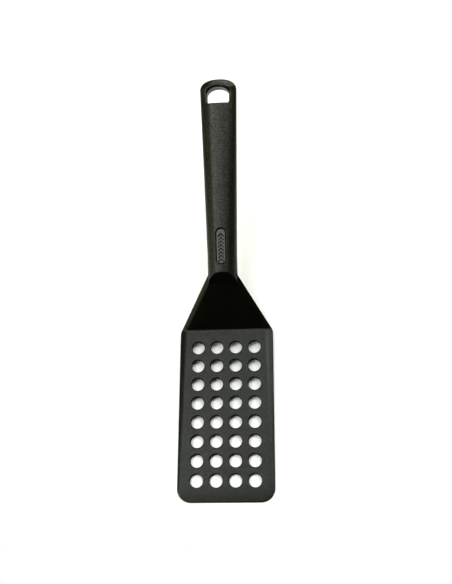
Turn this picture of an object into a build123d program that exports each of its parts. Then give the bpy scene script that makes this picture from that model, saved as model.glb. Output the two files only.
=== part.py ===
"""Slotted kitchen turner: a perforated nylon head on a two-shell handle with an inlaid badge.

Frame, millimetres: origin at the middle of the blade's flat underside, +X across the blade,
+Y from the blade towards the handle, +Z up. The blade lies flat on Z = 0. The shapes are drawn
with y counted from the blade's front edge, and set into the frame when they are exported.
The handle has its own frame: "run" is measured along its straight top face from the mouth,
and "depth" straight down into the handle from that face.
"""

import os
from math import cos, pi, radians, sin, tan

from build123d import *

# ---- blade -------------------------------------------------------------------------------
blade_width = 77.6
blade_length = 140.6            # front edge to the heel crease
heel_thickness = 3.5
front_thickness = 2.4           # where the front lip begins
lip_length = 8.5
lip_edge_thickness = 1.1
front_corner_radius = 11.3
side_bevel_at_heel = 5.6        # width of the sloping rim beside the flat face
side_bevel_at_front = 2.2
side_bevel_drop = 2.2
hole_diameter = 10.2
hole_pitch = 15.5
hole_columns = 4
hole_rows = 8
first_row_y = 16.75
hole_edge_round = 0.5
blade_rim_round = 0.5

# ---- neck --------------------------------------------------------------------------------
neck_angle = 42.1               # rise of the neck above the blade
neck_thickness = 3.3
neck_crease_y = 171.0           # where the handle's mouth meets the neck
neck_crease_half_width = 11.3   # flat web, inside the bevels, at that crease
neck_edge_half_width = 16.9     # outside the bevels, at that crease
neck_top_half_width = 10.2      # where the neck's outline is fully inside the handle
neck_top_y = 179.0
tang_start_y = 180.0
neck_bevel_tilt = 25.0
heel_corner_y = 139.2
heel_corner_radius = 5.0

# ---- handle ------------------------------------------------------------------------------
handle_angle = 15.0
mouth_y = 176.6                 # front end of the handle's top face
mouth_z = 40.7
mouth_cut_angle = 45.0          # slope of the mouth's end face from the handle's axis
handle_length = 162.6
end_cap_length = 9.5            # the end is half an ellipse this deep
end_round = 3.2
parting_depth_at_mouth = 8.5
parting_depth_at_end = 6.0
top_crown = 0.4
lower_corner = 4.5

# run, half-width at the widest line, half-width of the top face, thickness
handle_stations = (
    (-14.0, 12.1, 5.2, 14.4),
    (16.0, 12.2, 5.5, 13.9),
    (78.0, 13.5, 6.1, 12.8),
    (150.0, 15.2, 6.9, 10.7),
    (172.0, 15.4, 7.1, 10.0),
)
end_half_width = 15.3
lower_lip_run = -3.0            # front end of the underside, behind the neck
wide = 40.0                     # more than the handle's width or thickness, for cutters
beyond = 5.0                    # how far cutters stand off the top face

# ---- tang and pins -----------------------------------------------------------------------
tang_length = 96.0
tang_thickness = 3.3
tang_half_width_front = 6.6
tang_half_width_back = 5.2
tang_clearance = 0.15
pin_radius = 2.0
pin_runs = (50.0, 86.0)
pin_skin = 2.2                  # wall left outside each end of a pin
pin_fit = 0.05
boss_radius = 4.2

# ---- shells ------------------------------------------------------------------------------
wall = 2.4
rib = 2.0
cavity_start = 14.0
cavity_end = 133.0
cavity_taper = 18.0
front_pockets = 2
back_pockets = 5

# ---- hang opening ------------------------------------------------------------------------
opening_start = 141.2           # run of its straight side
opening_half_width = 9.1
opening_side_height = 7.4
opening_rise = 6.3              # of the arched side above the straight sides
opening_corner = 2.0
opening_edge_round = 1.5
opening_under_round = 1.0

# ---- badge -------------------------------------------------------------------------------
badge_centre = 21.9
badge_pocket_length = 29.6
badge_pocket_width = 8.4
badge_pocket_depth = 1.3
badge_gap = 0.35
badge_thickness = 1.1
badge_edge_round = 0.5
chevron_count = 8
chevron_pitch = 2.9
chevron_arm = 2.1
chevron_bar = 0.75
chevron_height = 0.25

neck_slope = tan(radians(neck_angle))
hole_field_y = first_row_y + hole_pitch * (hole_rows - 1) / 2
parting_slope = (parting_depth_at_mouth - parting_depth_at_end) / handle_length
handle_along = Vector(0, cos(radians(handle_angle)), sin(radians(handle_angle)))
handle_up = Vector(0, -sin(radians(handle_angle)), cos(radians(handle_angle)))
handle_start = Vector(0, mouth_y, mouth_z)


def handle_point(run, depth, x=0.0):
    """A point of the handle's own frame, in the turner's frame."""
    return handle_start + handle_along * run - handle_up * depth + Vector(x, 0, 0)


def yz(point):
    """Side-view coordinates of a point, for sketches on Plane.YZ."""
    return (point.Y, point.Z)


def parting_depth(run):
    """Depth of the plane where the two handle shells meet, at the handle's widest line."""
    return parting_depth_at_mouth - parting_slope * run


def crosswise(run):
    """Plane across the handle: local x is across, local y is up out of the top face."""
    return Plane(handle_point(run, 0), x_dir=(1, 0, 0), z_dir=-handle_along)


def seam_plane(depth_below=0.0):
    """Plane parallel to the parting plane: local x across, local y along the handle."""
    origin = handle_point(0, parting_depth_at_mouth + depth_below)
    along = handle_point(1, parting_depth(1)) - handle_point(0, parting_depth(0))
    return Plane(origin, x_dir=(1, 0, 0), z_dir=Vector(1, 0, 0).cross(along))


def face_plane(depth=0.0):
    """Plane parallel to the handle's top face: local x across, local y along the handle."""
    return Plane(handle_point(0, depth), x_dir=(1, 0, 0), z_dir=handle_up)


# ---- head: blade, neck and tang in one moulding -------------------------------------------
# The blade is a wedge with a lip at the front and sloping rims along both sides.
half_width = blade_width / 2
neck_rise = neck_thickness / cos(radians(neck_angle))
underside_turn_y = blade_length + (neck_rise - heel_thickness) / neck_slope
flat_half_heel = half_width - side_bevel_at_heel
flat_half_front = half_width - side_bevel_at_front
rim_turn = Vector(flat_half_heel, blade_length, heel_thickness)
rim_front = Vector(flat_half_front, lip_length, front_thickness)
rim_edge = Vector(half_width, blade_length, heel_thickness - side_bevel_drop)
rim_normal = (rim_edge - rim_turn).cross(rim_front - rim_turn)
rim_normal = rim_normal * (1 if rim_normal.Z > 0 else -1)

with BuildSketch(Plane.XY) as head_outline:
    with BuildLine():
        Polyline(
            (-half_width, 0),
            (half_width, 0),
            (half_width, heel_corner_y),
            (neck_edge_half_width, neck_crease_y),
            (neck_top_half_width, neck_top_y),
            (tang_half_width_front, tang_start_y),
            (tang_half_width_back, handle_point(tang_length, 0).Y),
            (-tang_half_width_back, handle_point(tang_length, 0).Y),
            (-tang_half_width_front, tang_start_y),
            (-neck_top_half_width, neck_top_y),
            (-neck_edge_half_width, neck_crease_y),
            (-half_width, heel_corner_y),
            close=True,
        )
    make_face()
    corners = head_outline.vertices().group_by(Axis.Y)[0]
    fillet(corners, radius=front_corner_radius)
    heel_corners = [v for v in head_outline.vertices() if abs(v.Y - heel_corner_y) < 0.01]
    fillet(heel_corners, radius=heel_corner_radius)

with BuildPart() as blade:
    with BuildSketch(Plane.YZ):
        with BuildLine():
            Polyline(
                (0, 0),
                (underside_turn_y, 0),
                (underside_turn_y + heel_thickness / neck_slope, heel_thickness),
                (blade_length, heel_thickness),
                (lip_length, front_thickness),
                (0, lip_edge_thickness),
                close=True,
            )
        make_face()
    extrude(amount=half_width, both=True)
    for side in (1, -1):
        corner = Vector(side * rim_turn.X, rim_turn.Y, rim_turn.Z)
        normal = Vector(side * rim_normal.X, rim_normal.Y, rim_normal.Z)
        with BuildSketch(Plane(corner, z_dir=normal)):
            Rectangle(2.5 * blade_length, 2.5 * blade_length)
        extrude(amount=heel_thickness * 3, mode=Mode.SUBTRACT)

# The neck is a flat web with bevelled edges that bends into the tang inside the handle.
web_run = neck_crease_y - blade_length
web_top = heel_thickness + web_run * neck_slope
web_normal = Vector(0, -sin(radians(neck_angle)), cos(radians(neck_angle)))
web_start = Vector(0, blade_length, heel_thickness)


def meet_web(offset, depth_at):
    """Where the web's plane, lowered by offset, meets the tang line at depth_at(run)."""
    start = handle_point(0, depth_at(0))
    step = handle_point(1, depth_at(1)) - start
    height = (start - web_start).dot(web_normal) + offset
    return start - step * (height / step.dot(web_normal))


bend_top = meet_web(0.0, lambda run: parting_depth(run) - tang_thickness)
bend_under = meet_web(neck_thickness, parting_depth)
crease_edge = Vector(neck_crease_half_width, neck_crease_y, web_top)
crease_start = Vector(flat_half_heel, blade_length, heel_thickness)
crease_line = (crease_edge - crease_start).normalized()
bevel_out = crease_line.cross(web_normal).normalized()
bevel_normal = (
    web_normal * cos(radians(neck_bevel_tilt)) + bevel_out * sin(radians(neck_bevel_tilt))
)

with BuildPart() as neck:
    with BuildSketch(Plane.YZ):
        with BuildLine():
            Polyline(
                (blade_length - heel_thickness / neck_slope, 0),
                (underside_turn_y, 0),
                yz(bend_under),
                yz(handle_point(tang_length, parting_depth(tang_length))),
                yz(handle_point(tang_length, parting_depth(tang_length) - tang_thickness)),
                yz(bend_top),
                close=True,
            )
        make_face()
    extrude(amount=half_width, both=True)
    for side in (1, -1):
        corner = Vector(side * crease_start.X, crease_start.Y, crease_start.Z)
        normal = Vector(side * bevel_normal.X, bevel_normal.Y, bevel_normal.Z)
        with BuildSketch(Plane(corner, z_dir=normal)):
            Rectangle(6 * web_run, 6 * web_run)
        extrude(amount=web_run, mode=Mode.SUBTRACT)


def is_hole_rim(edge):
    """True for the closed edges around the drain holes."""
    return edge.is_closed and abs(edge.length - hole_diameter * pi) < 0.5


def is_blade_rim(edge):
    """True for the upper outer edges along the blade's sides, front and front corners."""
    middle = edge.center()
    outside = abs(middle.X) > flat_half_front or abs(middle.X) + middle.Y < half_width
    above = lip_edge_thickness / 2 < middle.Z < front_thickness - blade_rim_round
    return above and outside and middle.Y < blade_length / 2 + lip_length


with BuildPart() as head:
    add(blade.part)
    add(neck.part)
    with BuildSketch(Plane.XY):
        add(head_outline.sketch)
    extrude(amount=2 * mouth_z + handle_length, mode=Mode.INTERSECT)
    with BuildSketch(Plane.XY):
        with Locations((0, hole_field_y)):
            with GridLocations(hole_pitch, hole_pitch, hole_columns, hole_rows):
                Circle(hole_diameter / 2)
    extrude(amount=2 * heel_thickness, mode=Mode.SUBTRACT)
    hole_rims = [e for e in head.edges() if is_hole_rim(e)]
    fillet([e for e in hole_rims if e.center().Z > front_thickness / 2], radius=hole_edge_round)
    fillet([e for e in head.edges() if is_blade_rim(e)], radius=blade_rim_round)
    for run in pin_runs:
        with BuildSketch(seam_plane()):
            with Locations((0, run)):
                Circle(pin_radius + pin_fit)
        extrude(amount=2 * tang_thickness, both=True, mode=Mode.SUBTRACT)


# ---- handle envelope ----------------------------------------------------------------------
def loaf(run, half_width_here, face_half_width, thickness):
    """Cross-section: crowned top face, full flanks down to the parting, rounded underside."""
    flank = parting_depth(run)
    reach = half_width_here - face_half_width
    base = half_width_here - lower_corner
    with BuildSketch(crosswise(run)) as section:
        with BuildLine():
            ThreePointArc((-face_half_width, 0), (0, top_crown), (face_half_width, 0))
            Bezier(
                (face_half_width, 0),
                (face_half_width + 0.5 * reach, -0.14 * flank),
                (half_width_here, -0.5 * flank),
                (half_width_here, -flank),
            )
            Bezier(
                (half_width_here, -flank),
                (half_width_here, -0.5 * (flank + thickness)),
                (base + 0.6 * lower_corner, -thickness),
                (base, -thickness),
            )
            Line((base, -thickness), (-base, -thickness))
            Bezier(
                (-base, -thickness),
                (-base - 0.6 * lower_corner, -thickness),
                (-half_width_here, -0.5 * (flank + thickness)),
                (-half_width_here, -flank),
            )
            Bezier(
                (-half_width_here, -flank),
                (-half_width_here, -0.5 * flank),
                (-face_half_width - 0.5 * reach, -0.14 * flank),
                (-face_half_width, 0),
            )
        make_face()
    return section.sketch


def station_thickness(run):
    """Thickness of the handle at a run, by straight lines between the stations."""
    for (run_a, _, _, thick_a), (run_b, _, _, thick_b) in zip(handle_stations, handle_stations[1:]):
        if run <= run_b:
            return thick_a + (thick_b - thick_a) * (run - run_a) / (run_b - run_a)
    return handle_stations[-1][3]


def station_half_width(run):
    """Half-width of the handle's widest line at a run, by the same straight lines."""
    for (run_a, half_a, _, _), (run_b, half_b, _, _) in zip(handle_stations, handle_stations[1:]):
        if run <= run_b:
            return half_a + (half_b - half_a) * (run - run_a) / (run_b - run_a)
    return handle_stations[-1][1]


def run_of(shape):
    """How far along the handle's top face a shape's centre is."""
    return (Vector(*shape.center()) - handle_start).dot(handle_along)


def depth_of(shape):
    """How far below the handle's top face a shape's centre is."""
    return -(Vector(*shape.center()) - handle_start).dot(handle_up)


def around_opening(edge):
    """True for the edges of the hang opening at the top and bottom of the handle."""
    middle = edge.center()
    return (
        abs(middle.X) < opening_half_width + 0.1
        and opening_start - 0.1 < run_of(edge) < opening_start + opening_side_height + opening_rise + 0.1
    )


def pocket_runs(start, end, count):
    """Start and end of each of a row of pockets with ribs between them."""
    length = (end - start - rib * (count - 1)) / count
    return [(start + i * (length + rib), start + i * (length + rib) + length) for i in range(count)]


def pocket_outline(start, end):
    """Corners of a pocket that leaves the side walls at full thickness."""
    near = station_half_width(start) - wall
    far = station_half_width(end) - wall
    return (-near, start), (near, start), (far, end), (-far, end)


end_start = handle_length - end_cap_length
side_plane = Plane(handle_start, x_dir=handle_along, z_dir=(1, 0, 0))

with BuildPart() as handle:
    for station in handle_stations:
        add(loaf(*station))
    loft()
    # The end is half an ellipse in plan, and its top and bottom rims are rounded off.
    with BuildSketch(face_plane(depth=-beyond)):
        with BuildLine():
            Polyline(
                (end_half_width, end_start),
                (end_half_width, -2 * wide),
                (-end_half_width, -2 * wide),
                (-end_half_width, end_start),
            )
            EllipticalCenterArc(
                (0, end_start), end_half_width, end_cap_length, start_angle=0, arc_size=180
            )
        make_face()
    extrude(amount=-2 * wide, mode=Mode.INTERSECT)
    with BuildSketch(side_plane):
        Polygon(
            (-2 * wide, beyond),
            (handle_length, beyond),
            (handle_length, -wide),
            (-2 * wide, -wide),
            align=None,
        )
        with BuildLine(mode=Mode.PRIVATE) as top_rim:
            Line((handle_length - end_round, beyond), (handle_length, beyond))
            Line((handle_length, beyond), (handle_length, -end_round))
            EllipticalCenterArc(
                (handle_length - end_round, -end_round),
                end_round,
                end_round + top_crown,
                start_angle=0,
                arc_size=90,
            )
            Line((handle_length - end_round, top_crown), (handle_length - end_round, beyond))
        make_face(top_rim.edges(), mode=Mode.SUBTRACT)
    extrude(amount=wide, both=True, mode=Mode.INTERSECT)
    # The mouth's end face slopes forward and down to the neck.
    with BuildSketch(side_plane):
        Polygon(
            (0, 0),
            (beyond / tan(radians(mouth_cut_angle)), beyond),
            (-2 * wide, beyond),
            (-2 * wide, -wide),
            (-wide / tan(radians(mouth_cut_angle)), -wide),
            align=None,
        )
    extrude(amount=wide, both=True, mode=Mode.SUBTRACT)
    # The lower lip is cut square behind the neck.
    with BuildSketch(side_plane):
        Polygon(
            (lower_lip_run, -parting_depth_at_mouth),
            (-2 * wide, -parting_depth_at_mouth),
            (-2 * wide, -wide),
            (lower_lip_run, -wide),
            align=None,
        )
    extrude(amount=wide, both=True, mode=Mode.SUBTRACT)
    # The hang opening: a straight side towards the mouth and an arched one towards the end.
    with BuildSketch(face_plane(depth=-beyond)) as opening:
        with BuildLine():
            Polyline(
                (-opening_half_width, opening_start + opening_side_height),
                (-opening_half_width, opening_start),
                (opening_half_width, opening_start),
                (opening_half_width, opening_start + opening_side_height),
            )
            EllipticalCenterArc(
                (0, opening_start + opening_side_height),
                opening_half_width,
                opening_rise,
                start_angle=0,
                arc_size=180,
            )
        make_face()
        corners = [v for v in opening.vertices() if run_of(v) < opening_start + 0.01]
        fillet(corners, radius=opening_corner)
    extrude(amount=-2 * wide, mode=Mode.SUBTRACT)
    opening_rims = [e for e in handle.edges() if around_opening(e)]
    fillet([e for e in opening_rims if depth_of(e) < wall], radius=opening_edge_round)
    opening_rims = [e for e in handle.edges() if around_opening(e)]
    fillet([e for e in opening_rims if depth_of(e) > 3 * wall], radius=opening_under_round)
    # Everything that the neck fills is taken out of the handle.
    add(head.part, mode=Mode.SUBTRACT)

# ---- badge --------------------------------------------------------------------------------
# The mark on the badge is a plain row of chevrons.
badge_length = badge_pocket_length - 2 * badge_gap
badge_width = badge_pocket_width - 2 * badge_gap
with BuildPart() as badge:
    with BuildSketch(face_plane(depth=badge_pocket_depth)):
        with Locations((0, badge_centre)):
            SlotOverall(badge_length, badge_width, rotation=90)
    extrude(amount=badge_thickness)
    rim = badge.faces().sort_by(lambda f: (f.center() - handle_start).dot(handle_up))[-1].edges()
    fillet(rim, radius=badge_edge_round)
    face_depth = badge_pocket_depth - badge_thickness
    with BuildSketch(face_plane(depth=face_depth)):
        for index in range(chevron_count):
            run = badge_centre + (index - (chevron_count - 1) / 2) * chevron_pitch
            with Locations((0, run - chevron_arm / 2)):
                Polygon(
                    (-chevron_arm, 0),
                    (0, chevron_arm),
                    (chevron_arm, 0),
                    (chevron_arm, chevron_bar),
                    (0, chevron_arm + chevron_bar),
                    (-chevron_arm, chevron_bar),
                    align=None,
                )
    extrude(amount=chevron_height)

# ---- tang pins ----------------------------------------------------------------------------
def pin_span(run):
    """Distances from the parting plane up to a pin's top end and down to its bottom end."""
    thickness = station_thickness(run)
    return parting_depth(run) - pin_skin, thickness - pin_skin - parting_depth(run)


with BuildPart() as tang_pins:
    for run in pin_runs:
        up, down = pin_span(run)
        with BuildSketch(seam_plane(depth_below=down - pin_fit)):
            with Locations((0, run)):
                Circle(pin_radius)
        extrude(amount=up + down - 2 * pin_fit)

# ---- handle shells ------------------------------------------------------------------------
# Both shells come from the one envelope, parted at its widest line.
with BuildPart() as handle_front:
    add(handle.part)
    split(bisect_by=seam_plane(), keep=Keep.TOP)
    with BuildSketch(face_plane(depth=badge_pocket_depth)):
        with Locations((0, badge_centre)):
            SlotOverall(badge_pocket_length, badge_pocket_width, rotation=90)
    extrude(amount=beyond, mode=Mode.SUBTRACT)
    # A slot for the tang, open at the seam.
    with BuildSketch(seam_plane()):
        Polygon(
            (-tang_half_width_front - tang_clearance, lower_lip_run),
            (tang_half_width_front + tang_clearance, lower_lip_run),
            (tang_half_width_back + tang_clearance, tang_length + tang_clearance),
            (-tang_half_width_back - tang_clearance, tang_length + tang_clearance),
            align=None,
        )
    extrude(amount=tang_thickness + tang_clearance, mode=Mode.SUBTRACT)
    # Blind pockets behind the tang, with ribs between them.
    for start, end in pocket_runs(tang_length + rib, cavity_end, front_pockets):
        depth = parting_depth(end) - wall
        with BuildSketch(seam_plane()):
            Polygon(*pocket_outline(start, end), align=None)
        extrude(amount=depth, taper=cavity_taper, mode=Mode.SUBTRACT)
    for run in pin_runs:
        with BuildSketch(seam_plane()):
            with Locations((0, run)):
                Circle(pin_radius + pin_fit)
        extrude(amount=pin_span(run)[0], mode=Mode.SUBTRACT)

with BuildPart() as handle_back:
    add(handle.part)
    split(bisect_by=seam_plane(), keep=Keep.BOTTOM)
    for start, end in pocket_runs(cavity_start, cavity_end, back_pockets):
        depth = station_thickness(end) - parting_depth(end) - wall
        with BuildSketch(seam_plane()) as pocket:
            Polygon(*pocket_outline(start, end), align=None)
            with Locations(*[(0, run) for run in pin_runs]):
                Circle(boss_radius, mode=Mode.SUBTRACT)
        extrude(amount=-depth, mode=Mode.SUBTRACT)
    for run in pin_runs:
        with BuildSketch(seam_plane()):
            with Locations((0, run)):
                Circle(pin_radius + pin_fit)
        extrude(amount=-pin_span(run)[1], mode=Mode.SUBTRACT)

# ---- names and files ----------------------------------------------------------------------
pieces = {
    "head": head,
    "handle_front": handle_front,
    "handle_back": handle_back,
    "badge": badge,
    "tang_pins": tang_pins,
}
into_frame = Location((0, -blade_length / 2, 0))
os.makedirs("parts", exist_ok=True)
for name, piece in pieces.items():
    piece.part.label = name
    export_step(piece.part.moved(into_frame), f"parts/{name}.step")
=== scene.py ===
import math

import bpy
import numpy as np
from mathutils import Euler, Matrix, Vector


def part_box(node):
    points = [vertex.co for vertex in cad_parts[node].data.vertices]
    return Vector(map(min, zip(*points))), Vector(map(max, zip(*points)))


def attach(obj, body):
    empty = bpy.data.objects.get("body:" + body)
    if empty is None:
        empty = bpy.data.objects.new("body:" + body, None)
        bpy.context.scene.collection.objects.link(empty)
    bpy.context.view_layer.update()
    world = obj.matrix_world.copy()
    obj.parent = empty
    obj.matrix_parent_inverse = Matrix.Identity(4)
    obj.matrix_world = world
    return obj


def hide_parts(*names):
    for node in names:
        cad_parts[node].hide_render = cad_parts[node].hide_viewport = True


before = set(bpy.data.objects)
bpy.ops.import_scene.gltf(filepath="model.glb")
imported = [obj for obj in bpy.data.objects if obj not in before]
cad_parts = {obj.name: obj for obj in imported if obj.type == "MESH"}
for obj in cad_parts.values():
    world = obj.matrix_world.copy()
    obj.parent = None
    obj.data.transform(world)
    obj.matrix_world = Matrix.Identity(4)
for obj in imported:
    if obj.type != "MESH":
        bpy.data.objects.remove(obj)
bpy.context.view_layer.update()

# A black nylon turner: one moulding for blade, neck and tang, two handle shells and a badge.
#
# Everything below is in millimetres until a mesh is made. As in the CAD design, y is counted
# from the blade's front edge, and the handle has its own run (along its top face from the
# mouth) and rise (out of that face). Each moulding is a field, negative inside and about a
# distance in value, so that every edge can be given the radius that a mould leaves on it.
MM = 0.001
BLADE_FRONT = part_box("head")[0].y             # metres, in the turner's frame
BLADE_HALF_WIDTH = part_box("head")[1].x / MM
FAR_OUTSIDE = 9.0                             # a distance well clear of any surface

# ---- blade --------------------------------------------------------------------------------
BLADE_LENGTH = -2 * BLADE_FRONT / MM
HEEL_THICKNESS = 3.5
FRONT_THICKNESS = 2.4
LIP_LENGTH = 8.5
LIP_EDGE = 1.1
LIP_ROUND = 0.9
FRONT_CORNER = 11.3
RIM_AT_HEEL = 5.6
RIM_AT_FRONT = 2.2
RIM_DROP = 2.2
RIM_ROUND = 0.6
OUTLINE_ROUND = 0.5
UNDERSIDE_ROUND = 0.3
HOLE_RADIUS = 5.1
HOLE_PITCH = 15.5
HOLE_COLUMNS = 4
HOLE_ROWS = 8
FIRST_ROW = 16.75
HOLE_ROUND = 0.5
HOLE_PAINTED_SHADE_RIM = 0.3               # how far the painted shade on a hole's wall runs onto its rim

# ---- neck and tang ------------------------------------------------------------------------
NECK_ANGLE = math.radians(42.1)
NECK_THICKNESS = 3.3
NECK_CREASE_Y = 171.0
NECK_CREASE_HALF_WIDTH = 11.3
NECK_EDGE_HALF_WIDTH = 16.9
NECK_BEVEL_TILT = math.radians(25)
NECK_BEVEL_ROUND = 0.3
NECK_BEND_ROUND = 0.5
NECK_UNDER_ROUND = 0.2
HEEL_CORNER_Y = 139.9
HEEL_CORNER_ROUND = 1.2
HEEL_FILLET = 0.5
TANG_LENGTH = 96.0
TANG_THICKNESS = 3.3
TANG_HALF_WIDTHS = (6.6, 5.2)     # at its front and back
TANG_END_ROUND = 1.0
PIN_RUNS = (50.0, 86.0)
PIN_RADIUS = 2.05
FIRST_PIN_ZONE = 20.0             # no pin bore lies nearer to the mouth than this

# ---- handle -------------------------------------------------------------------------------
HANDLE_ANGLE = math.radians(15)
MOUTH = (176.6, 40.7)             # y and z where the top face starts
MOUTH_ROUND = 0.5
HANDLE_LENGTH = 162.6
END_CAP = 9.5
END_HALF_WIDTH = 15.3
END_SQUARENESS = 2.3
STATIONS = (-14.0, 16.0, 78.0, 150.0, 172.0)
HALF_WIDTHS = (12.1, 12.2, 13.5, 15.2, 15.4)
FACE_HALF_WIDTHS = (5.2, 5.5, 6.1, 6.9, 7.1)
THICKNESSES = (14.4, 13.9, 12.8, 10.7, 10.0)
PARTING_AT_MOUTH = 8.5
PARTING_AT_END = 6.0
CROWN = 0.4
FACE_EDGE_ROUND = 0.4
CURVE_LIMIT = 1.5                 # a curve is followed this far past its edge, as a share
FLANK_NARROWING = 0.5             # how much less the flank spreads around the end
LOWER_REACH = 5.5
LOWER_SQUARENESS = 2.4
LOWER_LIP = -3.0
LOWER_LIP_ROUND = 0.6
SEAM_GAP = 0.03                   # each shell stops this short of the parting plane
SEAM_ROUND = 0.25
NECK_CLEARANCE = 0.06
WALL = 2.4
CAVITY = (14.0, 133.0)
BOSS_RADIUS = 4.2
PIN_BORE_DEPTH = 2.6              # below the parting plane

# ---- hang opening -------------------------------------------------------------------------
OPENING = (141.2, 9.1, 7.4, 6.3)  # start, half-width, straight side, rise of the arch
OPENING_CORNER = 2.0
ROLL = 1.0                        # radius of the opening's rim
ARCH_ROLL = 1.6                   # added to it on top, around the arch
ROLL_START = 3.0                  # where that addition begins, from the opening's start
ROLL_GROWTH = 6.0                 # and how far it takes to reach its full size

# ---- badge --------------------------------------------------------------------------------
BADGE = (21.9, 14.8, 4.2)         # centre, half-length and half-width of its pocket
BADGE_DEPTH = 1.3
BADGE_TOP = -0.1
BADGE_GAP = 0.45
BADGE_ROUND = 0.6
POCKET_FLOOR_ROUND = 0.2
POCKET_RIM_ROUND = 0.3
CHEVRON_PITCH = 2.9
CHEVRON_ARM = 2.3
CHEVRON_BAR = 1.0
CHEVRON_COUNT = 8
CHEVRON_DEPTH = 0.45
CHEVRON_ROUND = 0.08
CHEVRON_PAINTED_SHADE_DEPTH = 0.12         # below the badge's top, where the painted shade starts
BADGE_BORDER = 1.3                # plain margin around the relief

# ---- mesh cells ---------------------------------------------------------------------------
HEAD_CELL = 0.5
SHELL_CELL = 0.4
BADGE_CELL = 0.12
SLAB = 24                         # layers of cells worked out at a time
COARSENING = 1.0


# ---- distance fields ----------------------------------------------------------------------
def both(a, b, radius):
    """Inside a and b, with the edge between them rounded."""
    corner = np.hypot(np.maximum(a + radius, 0), np.maximum(b + radius, 0))
    return np.minimum(np.maximum(a, b), -radius) + corner


def either(a, b, radius):
    """Inside a or b, with the corner between them filleted."""
    corner = np.hypot(np.maximum(radius - a, 0), np.maximum(radius - b, 0))
    return np.maximum(np.minimum(a, b), radius) - corner


def outside_plane(x, y, z, point, normal):
    """Distance in front of a plane."""
    size = math.sqrt(sum(n * n for n in normal))
    return sum((c - p) * (n / size) for c, p, n in zip((x, y, z), point, normal))


def cross(a, b):
    """Cross product of two vectors."""
    return (a[1] * b[2] - a[2] * b[1], a[2] * b[0] - a[0] * b[2], a[0] * b[1] - a[1] * b[0])


def minus(a, b):
    """Vector from b to a."""
    return tuple(p - q for p, q in zip(a, b))


def to_handle(y, z):
    """Run and rise of a point of the side view."""
    dy, dz = y - MOUTH[0], z - MOUTH[1]
    c, s = math.cos(HANDLE_ANGLE), math.sin(HANDLE_ANGLE)
    return dy * c + dz * s, dz * c - dy * s


def from_handle(run, rise):
    """y and z of a point of the handle."""
    c, s = math.cos(HANDLE_ANGLE), math.sin(HANDLE_ANGLE)
    return MOUTH[0] + run * c - rise * s, MOUTH[1] + run * s + rise * c


def parting(run):
    """Depth of the plane where the two shells meet."""
    return PARTING_AT_MOUTH - (PARTING_AT_MOUTH - PARTING_AT_END) * run / HANDLE_LENGTH


def hole_distance(x, y):
    """Distance outside the nearest drain hole's wall."""
    column = np.clip(np.round(abs(x) / HOLE_PITCH + 0.5), 1, HOLE_COLUMNS / 2) - 0.5
    row = np.clip(np.round((y - FIRST_ROW) / HOLE_PITCH), 0, HOLE_ROWS - 1)
    return np.hypot(abs(x) - column * HOLE_PITCH, y - FIRST_ROW - row * HOLE_PITCH) - HOLE_RADIUS


# Where the flat of the blade ends: its corner at the heel, and its side at the front lip.
HEEL_TURN = (BLADE_HALF_WIDTH - RIM_AT_HEEL, BLADE_LENGTH, HEEL_THICKNESS)
FRONT_TURN = (BLADE_HALF_WIDTH - RIM_AT_FRONT, LIP_LENGTH, FRONT_THICKNESS)


def blade_top_field(x, y, z):
    """Top of the blade: a wedge, its lip at the front, and the sloping rims at its sides."""
    slope = (HEEL_THICKNESS - FRONT_THICKNESS) / (BLADE_LENGTH - LIP_LENGTH)
    lip_slope = (FRONT_THICKNESS - LIP_EDGE) / LIP_LENGTH
    top = outside_plane(0, y, z, (0, BLADE_LENGTH, HEEL_THICKNESS), (0, -slope, 1))
    lip = outside_plane(0, y, z, (0, 0, LIP_EDGE), (0, -lip_slope, 1))
    top = both(top, lip, LIP_ROUND)
    rim_edge = (BLADE_HALF_WIDTH, BLADE_LENGTH, HEEL_THICKNESS - RIM_DROP)
    rim_normal = cross(minus(rim_edge, HEEL_TURN), minus(FRONT_TURN, HEEL_TURN))
    rim_normal = tuple(n * math.copysign(1, rim_normal[2]) for n in rim_normal)
    return both(top, outside_plane(x, y, z, HEEL_TURN, rim_normal), RIM_ROUND)


def neck_fields(x, y, z):
    """Top of the neck with its bevels and its bend into the tang, and its underside."""
    run, rise = to_handle(y, z)
    web_normal = (0, -math.sin(NECK_ANGLE), math.cos(NECK_ANGLE))
    web_top = outside_plane(0, y, z, (0, BLADE_LENGTH, HEEL_THICKNESS), web_normal)
    crease_z = HEEL_THICKNESS + (NECK_CREASE_Y - BLADE_LENGTH) * math.tan(NECK_ANGLE)
    crease = (NECK_CREASE_HALF_WIDTH, NECK_CREASE_Y, crease_z)
    outward = cross(minus(crease, HEEL_TURN), web_normal)
    size = math.sqrt(sum(c * c for c in outward))
    tilted = tuple(
        n * math.cos(NECK_BEVEL_TILT) + o / size * math.sin(NECK_BEVEL_TILT)
        for n, o in zip(web_normal, outward)
    )
    tang_under = -rise - parting(run)
    tang_top = -(tang_under + TANG_THICKNESS)
    bent_top = both(web_top, tang_top, NECK_BEND_ROUND)
    top = both(bent_top, outside_plane(x, y, z, HEEL_TURN, tilted), NECK_BEVEL_ROUND)
    under = np.minimum(-(web_top + NECK_THICKNESS), tang_under)
    return top, under


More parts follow.
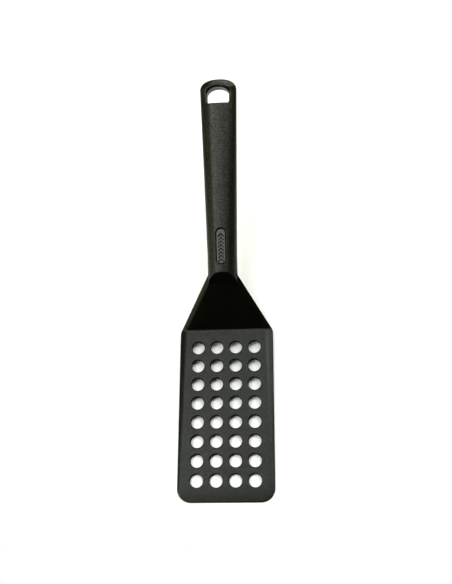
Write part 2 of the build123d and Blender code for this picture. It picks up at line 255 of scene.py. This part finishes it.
def head_outline(x, y, z):
    """Outline in plan: rounded front corners, slanted neck sides, then the tang."""
    run, _ = to_handle(y, z)
    sides = x - BLADE_HALF_WIDTH
    reach = NECK_CREASE_Y - HEEL_CORNER_Y
    inset = BLADE_HALF_WIDTH - NECK_EDGE_HALF_WIDTH
    neck_side = (sides * reach + (y - HEEL_CORNER_Y) * inset) / math.hypot(reach, inset)
    outline = both(both(sides, -y, FRONT_CORNER), neck_side, HEEL_CORNER_ROUND)
    front, back = TANG_HALF_WIDTHS
    tang_half = front + (back - front) * run / TANG_LENGTH
    tang_side = both(x - tang_half, run - TANG_LENGTH, TANG_END_ROUND)
    tang_side = np.where(run > 0, tang_side, FAR_OUTSIDE)
    return np.minimum(outline, np.maximum(tang_side, sides))


def head_field(x, y, z):
    """Blade, neck and tang in one piece, with the drain holes and the pins' bores."""
    x = abs(x)
    run, _ = to_handle(y, z)
    neck_top, under = neck_fields(x, y, z)
    under = both(-z, under, NECK_UNDER_ROUND)
    top = either(blade_top_field(x, y, z), neck_top, HEEL_FILLET)
    # The mould rounds the upper edges of the drain holes more than their lower ones.
    top = both(top, -hole_distance(x, y), HOLE_ROUND)
    solid = both(top, under, UNDERSIDE_ROUND)
    solid = both(solid, head_outline(x, y, z), OUTLINE_ROUND)
    for pin_run in PIN_RUNS:
        pin = np.hypot(x, run - pin_run) - PIN_RADIUS
        solid = np.maximum(solid, np.where(run > FIRST_PIN_ZONE, -pin, -FAR_OUTSIDE))
    return solid


def ellipse(x, y, half_x, half_y, squareness=2.0):
    """First-order distance outside an ellipse, or outside a squarer curve of that kind."""
    tiny = 1e-6
    across, along = abs(x / half_x), abs(y / half_y)
    level = (across**squareness + along**squareness + tiny) ** (1 / squareness)
    slope = np.hypot(
        across ** (squareness - 1) / half_x, along ** (squareness - 1) / half_y
    ) * level ** (1 - squareness) + tiny
    return (level - 1) / slope


def opening_outline(x, run):
    """Plan of the hang opening: straight towards the mouth, arched towards the end."""
    start, half, side, rise = OPENING
    lower = both(start - run, abs(x) - half, OPENING_CORNER)
    return np.where(run < start + side, lower, ellipse(x, run - start - side, half, rise))


def stadium(x, run, centre, half_length, half_width):
    """Distance outside a slot with round ends."""
    along = np.maximum(abs(run - centre) - (half_length - half_width), 0)
    return np.hypot(x, along) - half_width


def handle_field(x, run, rise):
    """The whole handle's outside, with the mouth cut and the hang opening."""
    half = np.interp(run, STATIONS, HALF_WIDTHS)
    face = np.interp(run, STATIONS, FACE_HALF_WIDTHS)
    thick = np.interp(run, STATIONS, THICKNESSES)
    seam = parting(run)
    cap_start = HANDLE_LENGTH - END_CAP
    outline = np.where(
        run < cap_start,
        abs(x) - half,
        ellipse(x, run - cap_start, END_HALF_WIDTH, END_CAP, END_SQUARENESS),
    )
    crowned = rise - CROWN * (1 - np.minimum((x / face) ** 2, CURVE_LIMIT))
    # Each flank is a parabola, steep at the face's edge and upright at the parting plane.
    spread = (half - face) * (1 - FLANK_NARROWING * np.clip((run - cap_start) / END_CAP, 0, 1))
    left = np.clip(1 + rise / seam, 0, CURVE_LIMIT)
    flank = (outline + spread * left**2) / np.hypot(1, 2 * spread * left / seam)
    above = both(flank, crowned, FACE_EDGE_ROUND)
    # The underside is a squarish quarter ellipse on each side.
    across = np.maximum(1 + outline / LOWER_REACH, 0)
    downward = np.maximum(-(rise + seam), 0) / (thick - seam)
    level = (across**LOWER_SQUARENESS + downward**LOWER_SQUARENESS) ** (1 / LOWER_SQUARENESS)
    below = (level - 1) * LOWER_REACH
    body = np.where(rise > -seam, above, below)
    body = both(body, (rise - run) / math.sqrt(2), MOUTH_ROUND)
    # The opening's rim is rolled over, widest around its arch and only on top.
    arch = np.clip((run - OPENING[0] - ROLL_START) / ROLL_GROWTH, 0, 1) * (rise > -seam)
    return both(body, -opening_outline(x, run), ROLL + ARCH_ROLL * arch)


def front_shell_field(x, run, rise):
    """Upper shell: the badge's pocket, and room for the neck and tang."""
    y, z = from_handle(run, rise)
    above_seam = -(rise + parting(run)) + SEAM_GAP
    shell = both(handle_field(x, run, rise), above_seam, SEAM_ROUND)
    pocket = both(stadium(x, run, *BADGE), -rise - BADGE_DEPTH, POCKET_FLOOR_ROUND)
    shell = both(shell, -pocket, POCKET_RIM_ROUND)
    return np.maximum(shell, NECK_CLEARANCE - head_field(x, y, z))


def back_shell_field(x, run, rise):
    """Lower shell: hollow from above, with its front lip cut square behind the neck."""
    y, z = from_handle(run, rise)
    outside = handle_field(x, run, rise)
    shell = both(outside, rise + parting(run) + SEAM_GAP, SEAM_ROUND)
    shell = both(shell, LOWER_LIP - run, LOWER_LIP_ROUND)
    hollow = np.maximum(outside + WALL, np.maximum(CAVITY[0] - run, run - CAVITY[1]))
    for pin_run in PIN_RUNS:
        hollow = np.maximum(hollow, BOSS_RADIUS - np.hypot(x, run - pin_run))
    shell = np.maximum(shell, -hollow)
    bore_floor = -rise - parting(run) - PIN_BORE_DEPTH
    for pin_run in PIN_RUNS:
        bore = np.maximum(np.hypot(x, run - pin_run) - PIN_RADIUS, bore_floor)
        shell = np.maximum(shell, -bore)
    return np.maximum(shell, NECK_CLEARANCE - head_field(x, y, z))


def badge_field(x, run, rise):
    """Inlay with a softly rounded rim and a sunk row of plain chevrons."""
    centre, half_length, half_width = BADGE
    plate = stadium(x, run, centre, half_length - BADGE_GAP, half_width - BADGE_GAP)
    faces = np.maximum(rise - BADGE_TOP, -rise - BADGE_DEPTH)
    body = both(plate, faces, BADGE_ROUND)
    step = run - centre + CHEVRON_ARM / 2 + abs(x)
    half_count = CHEVRON_COUNT / 2
    place = np.clip(np.round(step / CHEVRON_PITCH - 0.5), -half_count, half_count - 1) + 0.5
    bar = abs(step - place * CHEVRON_PITCH - CHEVRON_ARM / 2) / math.sqrt(2) - CHEVRON_BAR / 2
    stroke = np.maximum(bar, abs(x) - CHEVRON_ARM)
    groove = np.maximum(stroke, BADGE_TOP - CHEVRON_DEPTH - rise)
    return both(body, -groove, CHEVRON_ROUND)


# ---- painted shade: material slot 1, dark and unreflective, where these hold ----------------
def on_hole_wall(x, y, z):
    """Faces on a drain hole's wall or on the edge around it, where shade is painted."""
    return hole_distance(x, y) < HOLE_PAINTED_SHADE_RIM


def on_mouth(x, run, rise):
    """Faces on the mouth's slanted end, where shade is painted."""
    return (run - rise < MOUTH_ROUND) & (rise > -PARTING_AT_MOUTH)


def in_relief(x, run, rise):
    """Faces inside the badge's relief, where shade is painted."""
    inner = stadium(x, run, *BADGE) < -BADGE_BORDER
    return (rise < BADGE_TOP - CHEVRON_PAINTED_SHADE_DEPTH) & inner


# ---- fields to meshes ---------------------------------------------------------------------
def field_values(field, axes):
    """The field at every point of a grid."""
    x_axis, y_axis, z_axis = axes
    values = np.empty(tuple(len(a) for a in axes), np.float32)
    for start in range(0, len(y_axis), SLAB):
        part = slice(start, start + SLAB)
        values[:, part] = field(x_axis[:, None, None], y_axis[None, part, None], z_axis)
    return values


def surface_net(field, low, high, cell):
    """Closed quad mesh of a field's zero surface: one vertex for each cell that it crosses."""
    axes = [np.arange(a - 1.5 * cell, b + 2.5 * cell, cell) for a, b in zip(low, high)]
    values = field_values(field, axes)
    strides = np.array([values.shape[1] * values.shape[2], values.shape[2], 1])
    flat = values.ravel()
    inside = values < 0
    where, points, quads = [], [], []
    for axis in range(3):
        first = [slice(None)] * 3
        second = [slice(None)] * 3
        first[axis] = slice(0, -1)
        second[axis] = slice(1, None)
        index = np.argwhere(inside[tuple(first)] != inside[tuple(second)])
        node = index @ strides
        a, b = flat[node], flat[node + strides[axis]]
        position = index.astype(float)
        position[:, axis] += a / (a - b)
        one, two = strides[(axis + 1) % 3], strides[(axis + 2) % 3]
        around = np.stack([node, node - one, node - one - two, node - two], 1)
        where.append(around.ravel())
        points.append(np.repeat(position, 4, axis=0))
        quads.append(np.where((a < 0)[:, None], around, around[:, ::-1]))
    points = np.concatenate(points)
    cells, slot = np.unique(np.concatenate(where), return_inverse=True)
    count = np.bincount(slot)
    vertices = np.stack([np.bincount(slot, points[:, i]) / count for i in range(3)], 1)
    vertices = vertices * cell + np.array([a[0] for a in axes])
    return vertices, np.searchsorted(cells, np.concatenate(quads))


def piece_from(name, vertices, quads, materials, shaded_faces, node):
    """Makes a smooth mesh that stands for a CAD node and rides on the object's body."""
    vertices = vertices * MM
    vertices[:, 1] += BLADE_FRONT
    mesh = bpy.data.meshes.new(name)
    mesh.vertices.add(len(vertices))
    mesh.vertices.foreach_set("co", vertices.astype(np.float32).ravel())
    mesh.loops.add(quads.size)
    mesh.loops.foreach_set("vertex_index", quads.astype(np.int32).ravel())
    mesh.polygons.add(len(quads))
    mesh.polygons.foreach_set("loop_start", np.arange(0, quads.size, 4, dtype=np.int32))
    mesh.polygons.foreach_set("use_smooth", np.ones(len(quads), bool))
    for material in materials:
        mesh.materials.append(material)
    # Faces in painted shade take material slot 1.
    mesh.polygons.foreach_set("material_index", shaded_faces.astype(np.int32))
    mesh.update()
    mesh.validate()
    piece = bpy.data.objects.new(name, mesh)
    bpy.context.scene.collection.objects.link(piece)
    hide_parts(node)
    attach(piece, "root")


def head_piece(name, field, low, high, cell, materials, is_painted_shade, node):
    """Meshes a field drawn in y and z."""
    vertices, quads = surface_net(field, low, high, cell * COARSENING)
    # Faces that the mask picks are given painted shade.
    shaded_faces = is_painted_shade(*vertices[quads].mean(axis=1).T)
    piece_from(name, vertices, quads, materials, shaded_faces, node)


def handle_piece(name, field, low, high, cell, materials, is_painted_shade, node):
    """Meshes a field drawn in the handle's run and rise, and sets it in the turner's frame."""
    vertices, quads = surface_net(field, low, high, cell * COARSENING)
    # Faces that the mask picks are given painted shade.
    shaded_faces = is_painted_shade(*vertices[quads].mean(axis=1).T)
    y, z = from_handle(vertices[:, 1], vertices[:, 2])
    piece_from(name, np.stack([vertices[:, 0], y, z], 1), quads, materials, shaded_faces, node)


# ---- materials ----------------------------------------------------------------------------
SLOW_CHANGE = 14.0                # mm, size of the patches in which the roughness drifts
ROUGHNESS_DRIFT = 0.03
NOISE_RANGE = (0.3, 0.7)          # where nearly all of the noise's values lie


def nylon(name, colour, tint, roughness, specular, grain, mottle):
    """Black moulded nylon: a fine moulded grain, with a mottled sheen over it."""
    material = bpy.data.materials.new(name)
    material.use_nodes = True
    nodes, links = material.node_tree.nodes, material.node_tree.links
    skin = nodes["Principled BSDF"]
    skin.inputs["Base Color"].default_value = (*colour, 1)
    skin.inputs["Specular Tint"].default_value = (*tint, 1)
    place = nodes.new("ShaderNodeTexCoord")

    def noise(size, detail):
        """Soft noise whose patches are about this many millimetres across."""
        texture = nodes.new("ShaderNodeTexNoise")
        texture.inputs["Scale"].default_value = 1 / (size * MM)
        texture.inputs["Detail"].default_value = detail
        links.new(place.outputs["Object"], texture.inputs["Vector"])
        return texture.outputs["Fac"]

    def spread(value, middle, reach, target):
        """Stretches the noise's usual range to this reach on each side of the middle."""
        ramp = nodes.new("ShaderNodeMapRange")
        ramp.inputs["From Min"].default_value = NOISE_RANGE[0]
        ramp.inputs["From Max"].default_value = NOISE_RANGE[1]
        ramp.inputs["To Min"].default_value = middle - reach
        ramp.inputs["To Max"].default_value = middle + reach
        links.new(value, ramp.inputs["Value"])
        links.new(ramp.outputs["Result"], target)

    grain_size, grain_height = grain
    bump = nodes.new("ShaderNodeBump")
    bump.inputs["Distance"].default_value = grain_height * MM
    links.new(noise(grain_size, 3), bump.inputs["Height"])
    links.new(bump.outputs["Normal"], skin.inputs["Normal"])
    mottle_size, amount = mottle
    sheen = skin.inputs["Specular IOR Level"]
    spread(noise(mottle_size, 1), specular, specular * amount, sheen)
    spread(noise(SLOW_CHANGE, 2), roughness, ROUGHNESS_DRIFT, skin.inputs["Roughness"])
    return material


# Each: colour, tint of the sheen, roughness, specular level, (grain size, height in mm),
# (mottle size in mm, strength).
HEAD = nylon(
    "head", (0.0014, 0.0017, 0.0004), (0.94, 1.0, 0.94), 0.33, 0.20, (0.5, 0.08), (1.0, 0.3)
)
GRIP = nylon(
    "grip", (0.0024, 0.0027, 0.0004), (1.0, 1.0, 0.97), 0.36, 0.25, (0.8, 0.1), (1.4, 0.4)
)
INLAY = nylon(
    "badge", (0.015, 0.015, 0.015), (1.0, 1.0, 1.0), 0.30, 0.50, (0.4, 0.05), (0.8, 0.2)
)
# Painted shade: darker and nearly unreflective, it stands in for the shade on the drain holes'
# walls, on the mouth's end and in the badge's grooves.
PAINTED_SHADE = nylon(
    "painted_shade", (0.0012, 0.0014, 0.0006), (1.0, 1.0, 0.9), 0.6, 0.03, (0.5, 0.03), (1.2, 0.14)
)


# ---- pieces -------------------------------------------------------------------------------
def build_pieces():
    """The four remade pieces. The pins stay as they are in the CAD, out of sight."""
    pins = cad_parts["tang_pins"].data
    pins.materials.clear()
    pins.materials.append(HEAD)
    # A box around each field: x, then y and z for the head, run and rise for the rest.
    head_box = (-38.8, 0, 0), (38.8, 273, 64)
    front_box = (-15.4, -9.5, -9), (15.4, 163, 0.8)
    back_box = (-15.4, -9.5, -14.5), (15.4, 163, -5.5)
    badge_box = (-4.5, 6, -1.4), (4.5, 38, 0.1)
    # Each piece's second material is the painted shade.
    on_head = (HEAD, PAINTED_SHADE)
    on_grip = (GRIP, PAINTED_SHADE)
    on_badge = (INLAY, PAINTED_SHADE)
    head_piece("head_moulding", head_field, *head_box, HEAD_CELL, on_head, on_hole_wall, "head")
    for name, field, box, node in (
        ("handle_front_shell", front_shell_field, front_box, "handle_front"),
        ("handle_back_shell", back_shell_field, back_box, "handle_back"),
    ):
        handle_piece(name, field, *box, SHELL_CELL, on_grip, on_mouth, node)
    handle_piece("badge_inlay", badge_field, *badge_box, BADGE_CELL, on_badge, in_relief, "badge")


# ---- floor, light and camera --------------------------------------------------------------
FLOOR_CORNERS = ((-0.6, -0.1), (0.6, -0.1), (0.6, 0.8), (-0.6, 0.8))  # x and y, metres
FLOOR_COLOUR = (0.88, 0.88, 0.92, 1)
FLOOR_ROUGHNESS = 0.8
HEEL_GAP = 4.0                    # the floor falls this far from the blade's front to its heel

# Softboxes: azimuth from +X, elevation and width in degrees, strength, colour.
SOFTBOXES = {
    "overhead_left": (162, 72, 34, 1.5, (1.0, 1.0, 1.0)),
    "overhead_right": (56, 64, 22, 0.9, (0.96, 1.0, 1.0)),
    "left": (200, 52, 30, 0.8, (1.0, 1.0, 0.74)),
    "right": (35, 52, 30, 1.2, (1.0, 1.0, 0.86)),
    "back": (85, 30, 34, 1.4, (1.0, 1.0, 0.92)),
    "back_low": (50, 14, 26, 0.9, (1.0, 1.0, 0.7)),
    "left_low": (194, 20, 28, 0.9, (1.0, 1.0, 0.62)),
}

CAMERA_PLACE = (72, -139.3, 665)   # mm, in the turner's frame
CAMERA_TURN = (20.05, 6.25, 0.29)  # degrees: back from straight down, to the side, in its plane
CAMERA_LENS = 51.5342              # mm, for a sensor whose longer side is 36 mm


def floor():
    """Plain pale floor that touches the blade's front edge."""
    slope = HEEL_GAP / BLADE_LENGTH
    corners = [(x, y, -(y - BLADE_FRONT) * slope) for x, y in FLOOR_CORNERS]
    mesh = bpy.data.meshes.new("floor")
    mesh.from_pydata(corners, [], [(0, 1, 2, 3)])
    material = bpy.data.materials.new("floor")
    material.use_nodes = True
    surface = material.node_tree.nodes["Principled BSDF"]
    surface.inputs["Base Color"].default_value = FLOOR_COLOUR
    surface.inputs["Roughness"].default_value = FLOOR_ROUGHNESS
    mesh.materials.append(material)
    piece = bpy.data.objects.new("floor", mesh)
    bpy.context.scene.collection.objects.link(piece)


def backdrop():
    """White where the camera looks past the floor, and no light of its own."""
    world = bpy.data.worlds.new("backdrop")
    world.use_nodes = True
    nodes, links = world.node_tree.nodes, world.node_tree.links
    background = nodes["Background"]
    background.inputs["Color"].default_value = (1, 1, 1, 1)
    ray = nodes.new("ShaderNodeLightPath")
    links.new(ray.outputs["Is Camera Ray"], background.inputs["Strength"])
    bpy.context.scene.world = world


def softbox(name, azimuth, elevation, width, strength, colour):
    """A far lamp seen as a soft disc in one direction."""
    light = bpy.data.lights.new(name, "SUN")
    light.energy = strength
    light.color = colour
    light.angle = math.radians(width)
    lamp = bpy.data.objects.new(name, light)
    bpy.context.scene.collection.objects.link(lamp)
    a, e = math.radians(azimuth), math.radians(elevation)
    direction = Vector((math.cos(e) * math.cos(a), math.cos(e) * math.sin(a), math.sin(e)))
    lamp.rotation_euler = direction.to_track_quat("Z", "Y").to_euler()


def camera():
    """Looks down on the turner from in front of it and a little from its right."""
    lens = bpy.data.cameras.new("camera")
    lens.lens = CAMERA_LENS
    piece = bpy.data.objects.new("camera", lens)
    bpy.context.scene.collection.objects.link(piece)
    piece.rotation_mode = "ZXY"
    piece.rotation_euler = Euler([math.radians(turn) for turn in CAMERA_TURN], "ZXY")
    piece.location = Vector(CAMERA_PLACE) * MM
    bpy.context.scene.camera = piece


build_pieces()
floor()
backdrop()
for name, setting in SOFTBOXES.items():
    softbox(name, *setting)
camera()
bpy.context.scene.view_settings.view_transform = "Standard"
